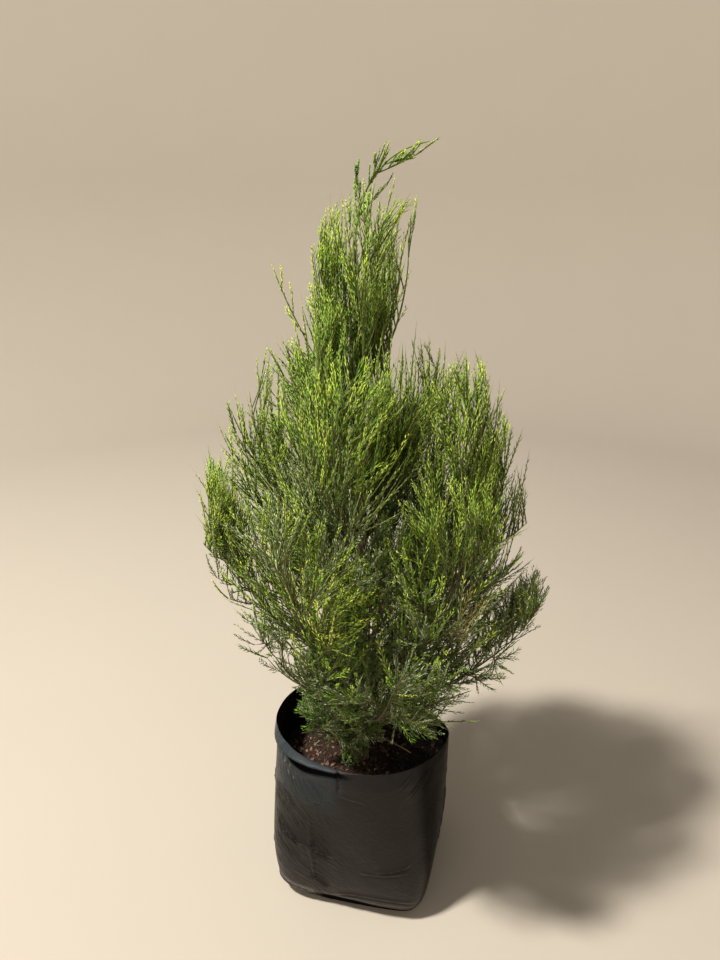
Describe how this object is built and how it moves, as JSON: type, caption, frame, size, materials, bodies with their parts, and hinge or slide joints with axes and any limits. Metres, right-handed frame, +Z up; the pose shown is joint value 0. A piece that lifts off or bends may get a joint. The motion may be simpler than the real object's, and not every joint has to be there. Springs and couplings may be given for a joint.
{
  "type": "young cypress pine in a planter bag",
  "caption": "Young conifer with fine upright foliage, a straight trunk and rising boughs, in a black film planter bag of potting mix.",
  "frame": {"origin": "on the planter bag's flat underside, where it stands on the ground, straight below the foot of the trunk and 6 mm left of the bag's middle", "axes": "+Z up along the trunk, the viewer of the picture stands on the -Y side, +X to their right"},
  "size_m": [0.7091, 0.6479, 1.536],
  "materials": {
    "film": "satin",
    "potting_mix": "matte",
    "bark": "matte",
    "foliage": "matte"
  },
  "bodies": {
    "root": {"bough_low_1": "bark", "bough_low_2": "bark", "bough_low_3": "bark", "bough_low_4": "bark", "bough_low_5": "bark", "bough_low_6": "bark", "bough_middle_1": "bark", "bough_middle_2": "bark", "bough_middle_3": "bark", "bough_middle_4": "bark", "bough_middle_5": "bark", "bough_middle_6": "bark", "bough_shoulder_1": "bark", "bough_shoulder_2": "bark", "bough_shoulder_3": "bark", "bough_shoulder_4": "bark", "bough_shoulder_5": "bark", "bough_skirt_1": "bark", "bough_skirt_2": "bark", "bough_skirt_3": "bark", "bough_skirt_4": "bark", "bough_skirt_5": "bark", "foliage_column_1": "foliage", "foliage_column_2": "foliage", "foliage_column_3": "foliage", "foliage_column_4": "foliage", "foliage_crest_1": "foliage", "foliage_crest_2": "foliage", "foliage_crest_3": "foliage", "foliage_crest_4": "foliage", "foliage_inner_1": "foliage", "foliage_inner_2": "foliage", "foliage_inner_3": "foliage", "foliage_leader": "foliage", "foliage_low_1": "foliage", "foliage_low_2": "foliage", "foliage_low_3": "foliage", "foliage_low_4": "foliage", "foliage_low_5": "foliage", "foliage_low_6": "foliage", "foliage_middle_1": "foliage", "foliage_middle_2": "foliage", "foliage_middle_3": "foliage", "foliage_middle_4": "foliage", "foliage_middle_5": "foliage", "foliage_middle_6": "foliage", "foliage_shoulder_1": "foliage", "foliage_shoulder_2": "foliage", "foliage_shoulder_3": "foliage", "foliage_shoulder_4": "foliage", "foliage_shoulder_5": "foliage", "foliage_skirt_1": "foliage", "foliage_skirt_2": "foliage", "foliage_skirt_3": "foliage", "foliage_skirt_4": "foliage", "foliage_skirt_5": "foliage", "planter_bag": "film", "potting_mix": "potting_mix", "trunk": "bark"}
  },
  "joints": []
}
